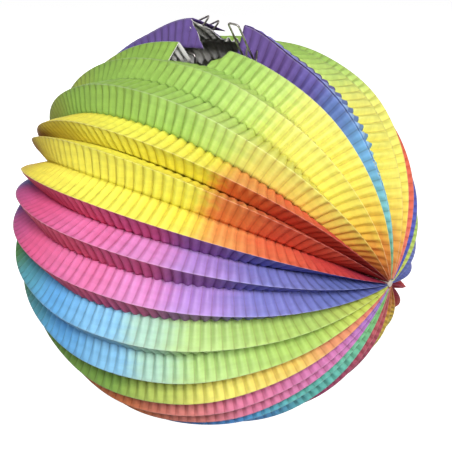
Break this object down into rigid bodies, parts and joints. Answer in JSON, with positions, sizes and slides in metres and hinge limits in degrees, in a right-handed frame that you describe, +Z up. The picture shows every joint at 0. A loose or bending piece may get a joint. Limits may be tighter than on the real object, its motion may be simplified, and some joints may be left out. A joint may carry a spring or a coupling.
{
  "type": "accordion paper lantern",
  "caption": "Ball-shaped rainbow paper lantern of crimped accordion pleats, with wire hanging clips, a top opening and a candle holder inside.",
  "frame": {"origin": "middle of the straight bar of the right wire clip's loop, where a lantern stick's hook takes hold", "axes": "+X along the pole axis, towards the right pole; +Z up; -Y towards the front"},
  "size_m": [0.246, 0.2486, 0.2602],
  "materials": {
    "paper_purple": "printed crimped crepe paper",
    "paper_green": "printed crimped crepe paper",
    "paper_yellow": "printed crimped crepe paper",
    "paper_pink": "printed crimped crepe paper",
    "paper_blue": "printed crimped crepe paper",
    "paper_orange": "printed crimped crepe paper",
    "paper_red": "printed crimped crepe paper",
    "flap_paper": "printed crepe paper",
    "thread": "cotton thread over a paper core",
    "steel_wire": "drawn steel wire",
    "tinplate": "tinned sheet steel"
  },
  "bodies": {
    "end_pleat": {"pleat_01_purple_left": "paper_purple", "pleat_01_purple_right": "paper_purple", "seam_flap_left": "flap_paper", "seam_flap_right": "flap_paper", "pole_tie_left": "thread", "pole_tie_right": "thread"},
    "pleat_02": {"pleat_02_green_left": "paper_green", "pleat_02_green_right": "paper_green"},
    "pleat_03": {"pleat_03_green": "paper_green"},
    "pleat_04": {"pleat_04_green": "paper_green"},
    "pleat_05": {"pleat_05_yellow": "paper_yellow"},
    "pleat_06": {"pleat_06_yellow": "paper_yellow"},
    "pleat_07": {"pleat_07_yellow": "paper_yellow"},
    "pleat_08": {"pleat_08_pink": "paper_pink"},
    "pleat_09": {"pleat_09_pink": "paper_pink"},
    "pleat_10": {"pleat_10_blue": "paper_blue"},
    "pleat_11": {"pleat_11_blue": "paper_blue"},
    "pleat_12": {"pleat_12_green": "paper_green"},
    "pleat_13": {"pleat_13_orange": "paper_orange"},
    "pleat_14": {"pleat_14_orange": "paper_orange"},
    "pleat_15": {"pleat_15_blue": "paper_blue"},
    "pleat_16": {"pleat_16_blue": "paper_blue"},
    "pleat_17": {"pleat_17_purple": "paper_purple"},
    "pleat_18": {"pleat_18_purple": "paper_purple"},
    "pleat_19": {"pleat_19_green": "paper_green"},
    "pleat_20": {"pleat_20_green": "paper_green"},
    "pleat_21": {"pleat_21_yellow": "paper_yellow"},
    "pleat_22": {"pleat_22_yellow": "paper_yellow"},
    "pleat_23": {"pleat_23_pink": "paper_pink"},
    "pleat_24": {"pleat_24_pink": "paper_pink"},
    "pleat_25": {"pleat_25_blue": "paper_blue"},
    "pleat_26": {"pleat_26_purple": "paper_purple"},
    "pleat_27": {"pleat_27_red": "paper_red"},
    "pleat_28": {"pleat_28_green": "paper_green"},
    "pleat_29": {"pleat_29_green": "paper_green"},
    "right_clip": {"hanger_clip_right": "steel_wire"},
    "left_clip": {"hanger_clip_left": "steel_wire"},
    "light_holder": {"holder_bail": "steel_wire", "drip_pan": "tinplate", "candle_cup": "tinplate", "holder_rivet": "tinplate"}
  },
  "joints": [
    {"name": "fold", "type": "hinge", "parent": "end_pleat", "child": "pleat_29", "pos_m": [-0.02, 0.0113, -0.13494], "axis": [1, 0, 0], "range_deg": [-313.2, 0], "deforming": ["pleat_29_green"]},
    {"name": "fold_28", "type": "hinge", "parent": "end_pleat", "child": "pleat_28", "pos_m": [-0.02, 0.0113, -0.13494], "axis": [1, 0, 0], "range_deg": [-301.92, 0], "deforming": ["pleat_28_green"]},
    {"name": "fold_27", "type": "hinge", "parent": "end_pleat", "child": "pleat_27", "pos_m": [-0.02, 0.0113, -0.13494], "axis": [1, 0, 0], "range_deg": [-289.34, 0], "deforming": ["pleat_27_red"]},
    {"name": "fold_26", "type": "hinge", "parent": "end_pleat", "child": "pleat_26", "pos_m": [-0.02, 0.0113, -0.13494], "axis": [1, 0, 0], "range_deg": [-276.76, 0], "deforming": ["pleat_26_purple"]},
    {"name": "fold_25", "type": "hinge", "parent": "end_pleat", "child": "pleat_25", "pos_m": [-0.02, 0.0113, -0.13494], "axis": [1, 0, 0], "range_deg": [-263.67, 0], "deforming": ["pleat_25_blue"]},
    {"name": "fold_24", "type": "hinge", "parent": "end_pleat", "child": "pleat_24", "pos_m": [-0.02, 0.0113, -0.13494], "axis": [1, 0, 0], "range_deg": [-250.59, 0], "deforming": ["pleat_24_pink"]},
    {"name": "fold_23", "type": "hinge", "parent": "end_pleat", "child": "pleat_23", "pos_m": [-0.02, 0.0113, -0.13494], "axis": [1, 0, 0], "range_deg": [-238.01, 0], "deforming": ["pleat_23_pink"]},
    {"name": "fold_22", "type": "hinge", "parent": "end_pleat", "child": "pleat_22", "pos_m": [-0.02, 0.0113, -0.13494], "axis": [1, 0, 0], "range_deg": [-224.93, 0], "deforming": ["pleat_22_yellow"]},
    {"name": "fold_21", "type": "hinge", "parent": "end_pleat", "child": "pleat_21", "pos_m": [-0.02, 0.0113, -0.13494], "axis": [1, 0, 0], "range_deg": [-212.35, 0], "deforming": ["pleat_21_yellow"]},
    {"name": "fold_20", "type": "hinge", "parent": "end_pleat", "child": "pleat_20", "pos_m": [-0.02, 0.0113, -0.13494], "axis": [1, 0, 0], "range_deg": [-199.27, 0], "deforming": ["pleat_20_green"]},
    {"name": "fold_19", "type": "hinge", "parent": "end_pleat", "child": "pleat_19", "pos_m": [-0.02, 0.0113, -0.13494], "axis": [1, 0, 0], "range_deg": [-186.69, 0], "deforming": ["pleat_19_green"]},
    {"name": "fold_18", "type": "hinge", "parent": "end_pleat", "child": "pleat_18", "pos_m": [-0.02, 0.0113, -0.13494], "axis": [1, 0, 0], "range_deg": [-173.6, 0], "deforming": ["pleat_18_purple"]},
    {"name": "fold_17", "type": "hinge", "parent": "end_pleat", "child": "pleat_17", "pos_m": [-0.02, 0.0113, -0.13494], "axis": [1, 0, 0], "range_deg": [-160.52, 0], "deforming": ["pleat_17_purple"]},
    {"name": "fold_16", "type": "hinge", "parent": "end_pleat", "child": "pleat_16", "pos_m": [-0.02, 0.0113, -0.13494], "axis": [1, 0, 0], "range_deg": [-147.44, 0], "deforming": ["pleat_16_blue"]},
    {"name": "fold_15", "type": "hinge", "parent": "end_pleat", "child": "pleat_15", "pos_m": [-0.02, 0.0113, -0.13494], "axis": [1, 0, 0], "range_deg": [-134.36, 0], "deforming": ["pleat_15_blue"]},
    {"name": "fold_14", "type": "hinge", "parent": "end_pleat", "child": "pleat_14", "pos_m": [-0.02, 0.0113, -0.13494], "axis": [1, 0, 0], "range_deg": [-127.78, 0], "deforming": ["pleat_14_orange"]},
    {"name": "fold_13", "type": "hinge", "parent": "end_pleat", "child": "pleat_13", "pos_m": [-0.02, 0.0113, -0.13494], "axis": [1, 0, 0], "range_deg": [-120.2, 0], "deforming": ["pleat_13_orange"]},
    {"name": "fold_12", "type": "hinge", "parent": "end_pleat", "child": "pleat_12", "pos_m": [-0.02, 0.0113, -0.13494], "axis": [1, 0, 0], "range_deg": [-111.61, 0], "deforming": ["pleat_12_green"]},
    {"name": "fold_11", "type": "hinge", "parent": "end_pleat", "child": "pleat_11", "pos_m": [-0.02, 0.0113, -0.13494], "axis": [1, 0, 0], "range_deg": [-101.03, 0], "deforming": ["pleat_11_blue"]},
    {"name": "fold_10", "type": "hinge", "parent": "end_pleat", "child": "pleat_10", "pos_m": [-0.02, 0.0113, -0.13494], "axis": [1, 0, 0], "range_deg": [-88.45, 0], "deforming": ["pleat_10_blue"]},
    {"name": "fold_09", "type": "hinge", "parent": "end_pleat", "child": "pleat_09", "pos_m": [-0.02, 0.0113, -0.13494], "axis": [1, 0, 0], "range_deg": [-76.37, 0], "deforming": ["pleat_09_pink"]},
    {"name": "fold_08", "type": "hinge", "parent": "end_pleat", "child": "pleat_08", "pos_m": [-0.02, 0.0113, -0.13494], "axis": [1, 0, 0], "range_deg": [-64.79, 0], "deforming": ["pleat_08_pink"]},
    {"name": "fold_07", "type": "hinge", "parent": "end_pleat", "child": "pleat_07", "pos_m": [-0.02, 0.0113, -0.13494], "axis": [1, 0, 0], "range_deg": [-55.71, 0], "deforming": ["pleat_07_yellow"]},
    {"name": "fold_06", "type": "hinge", "parent": "end_pleat", "child": "pleat_06", "pos_m": [-0.02, 0.0113, -0.13494], "axis": [1, 0, 0], "range_deg": [-43.13, 0], "deforming": ["pleat_06_yellow"]},
    {"name": "fold_05", "type": "hinge", "parent": "end_pleat", "child": "pleat_05", "pos_m": [-0.02, 0.0113, -0.13494], "axis": [1, 0, 0], "range_deg": [-38.04, 0], "deforming": ["pleat_05_yellow"]},
    {"name": "fold_04", "type": "hinge", "parent": "end_pleat", "child": "pleat_04", "pos_m": [-0.02, 0.0113, -0.13494], "axis": [1, 0, 0], "range_deg": [-25.96, 0], "deforming": ["pleat_04_green"]},
    {"name": "fold_03", "type": "hinge", "parent": "end_pleat", "child": "pleat_03", "pos_m": [-0.02, 0.0113, -0.13494], "axis": [1, 0, 0], "range_deg": [-11.38, 0], "deforming": ["pleat_03_green"]},
    {"name": "fold_02", "type": "hinge", "parent": "end_pleat", "child": "pleat_02", "pos_m": [-0.02, 0.0113, -0.13494], "axis": [1, 0, 0], "range_deg": [0, 3.8], "deforming": ["pleat_02_green_left", "pleat_02_green_right"]},
    {"name": "right_clip_swing", "type": "hinge", "parent": "end_pleat", "child": "right_clip", "pos_m": [0, 0.0159, -0.02544], "axis": [1, 0, 0], "range_deg": [-15, 14]},
    {"name": "left_clip_swing", "type": "hinge", "parent": "end_pleat", "child": "left_clip", "pos_m": [-0.0373, 0.03139, -0.0126], "axis": [0.5452, 0.6799, -0.4905], "range_deg": [0, 32]},
    {"name": "light_holder_swing", "type": "hinge", "parent": "end_pleat", "child": "light_holder", "pos_m": [-0.027, 0.01604, -0.03102], "axis": [1, 0, 0], "range_deg": [-18, 18]}
  ],
  "couplings": [
    {"joint": "fold_28", "follows": "fold", "ratio": 0.96302},
    {"joint": "fold_27", "follows": "fold", "ratio": 0.92285},
    {"joint": "fold_26", "follows": "fold", "ratio": 0.88268},
    {"joint": "fold_25", "follows": "fold", "ratio": 0.84091},
    {"joint": "fold_24", "follows": "fold", "ratio": 0.79914},
    {"joint": "fold_23", "follows": "fold", "ratio": 0.75897},
    {"joint": "fold_22", "follows": "fold", "ratio": 0.71721},
    {"joint": "fold_21", "follows": "fold", "ratio": 0.67703},
    {"joint": "fold_20", "follows": "fold", "ratio": 0.63527},
    {"joint": "fold_19", "follows": "fold", "ratio": 0.5951},
    {"joint": "fold_18", "follows": "fold", "ratio": 0.55333},
    {"joint": "fold_17", "follows": "fold", "ratio": 0.51156},
    {"joint": "fold_16", "follows": "fold", "ratio": 0.46979},
    {"joint": "fold_15", "follows": "fold", "ratio": 0.42802},
    {"joint": "fold_14", "follows": "fold", "ratio": 0.40701},
    {"joint": "fold_13", "follows": "fold", "ratio": 0.38281},
    {"joint": "fold_12", "follows": "fold", "ratio": 0.35541},
    {"joint": "fold_11", "follows": "fold", "ratio": 0.32162},
    {"joint": "fold_10", "follows": "fold", "ratio": 0.28145},
    {"joint": "fold_09", "follows": "fold", "ratio": 0.24288},
    {"joint": "fold_08", "follows": "fold", "ratio": 0.2059},
    {"joint": "fold_07", "follows": "fold", "ratio": 0.17691},
    {"joint": "fold_06", "follows": "fold", "ratio": 0.13674},
    {"joint": "fold_05", "follows": "fold", "ratio": 0.12051},
    {"joint": "fold_04", "follows": "fold", "ratio": 0.08194},
    {"joint": "fold_03", "follows": "fold", "ratio": 0.03538},
    {"joint": "fold_02", "follows": "fold", "ratio": -0.01118}
  ]
}
